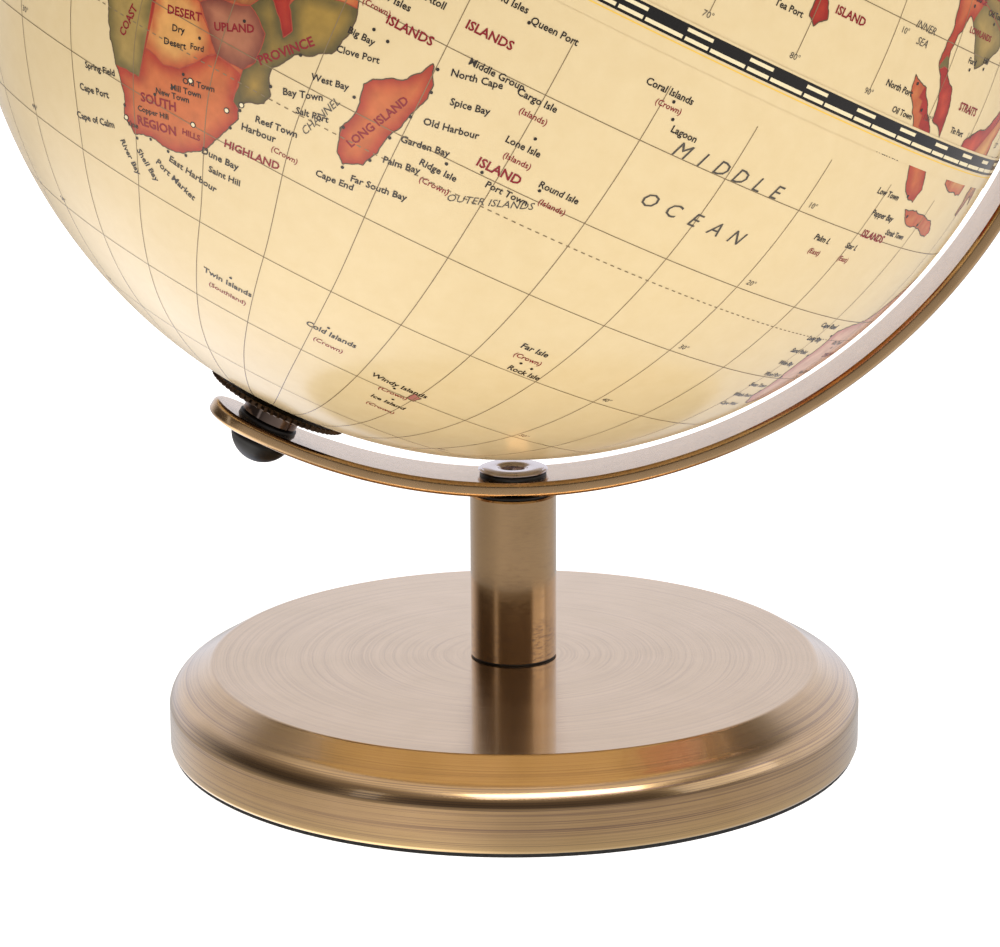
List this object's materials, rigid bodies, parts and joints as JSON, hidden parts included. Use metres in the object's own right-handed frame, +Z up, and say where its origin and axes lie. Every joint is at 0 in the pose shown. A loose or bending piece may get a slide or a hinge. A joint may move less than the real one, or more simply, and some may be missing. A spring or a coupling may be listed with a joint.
{
  "type": "desktop globe on stand",
  "caption": "Desktop globe: a tilted ball turning on its polar axle in a half-ring arm, bolted to a short tube stem on a weighted round base.",
  "frame": {"origin": "centre of the base's underside, on the stem's axis", "axes": "+Z up along the stem; the arm and the polar axis lie in the XZ plane, with the axis leaning 26.4 degrees towards +X; -Y is the side the arm's edge is seen from"},
  "size_m": [0.2089, 0.2002, 0.2611],
  "materials": {
    "antique_brass": "turned and brushed brass, darkened, under clear lacquer",
    "iron": "cast ballast",
    "pad": "black felt pad",
    "steel": "zinc plated steel fasteners, plugs and axle",
    "nickel": "bright nickel plated screw",
    "dark_nickel": "black nickel plated spacers and toothed discs",
    "black_rubber": "black rubber rings",
    "black_cap": "black satin moulded caps",
    "printed_map": "printed map sheet under gloss varnish",
    "shell_plastic": "moulded half shells, ring and bushes",
    "band_tape": "printed clear tape"
  },
  "bodies": {
    "stand": {"base_cover": "antique_brass", "base_weight": "iron", "base_pad": "pad", "base_washer": "steel", "base_bolt": "steel", "foot_washer": "black_rubber", "stem_tube": "antique_brass", "stem_bottom_plug": "steel", "stem_top_plug": "steel", "seat_washer": "black_rubber", "arm": "antique_brass", "arm_bolt": "nickel", "arm_bolt_washer": "black_rubber", "axle_rod": "steel", "north_collar": "dark_nickel", "south_collar": "dark_nickel", "north_rubber_washer": "black_rubber", "south_rubber_washer": "black_rubber", "north_cap": "black_cap", "south_cap": "black_cap"},
    "ball": {"north_shell": "shell_plastic", "south_shell": "shell_plastic", "north_map_sheet": "printed_map", "south_map_sheet": "printed_map", "north_bush": "shell_plastic", "south_bush": "shell_plastic", "north_rosette": "dark_nickel", "south_rosette": "dark_nickel", "joining_ring": "shell_plastic", "equator_tape": "band_tape"}
  },
  "joints": [
    {"name": "globe_spin", "type": "hinge", "parent": "stand", "child": "ball", "pos_m": [0, 0, 0.1585], "axis": [0.4446, 0, 0.8957], "continuous": true}
  ]
}
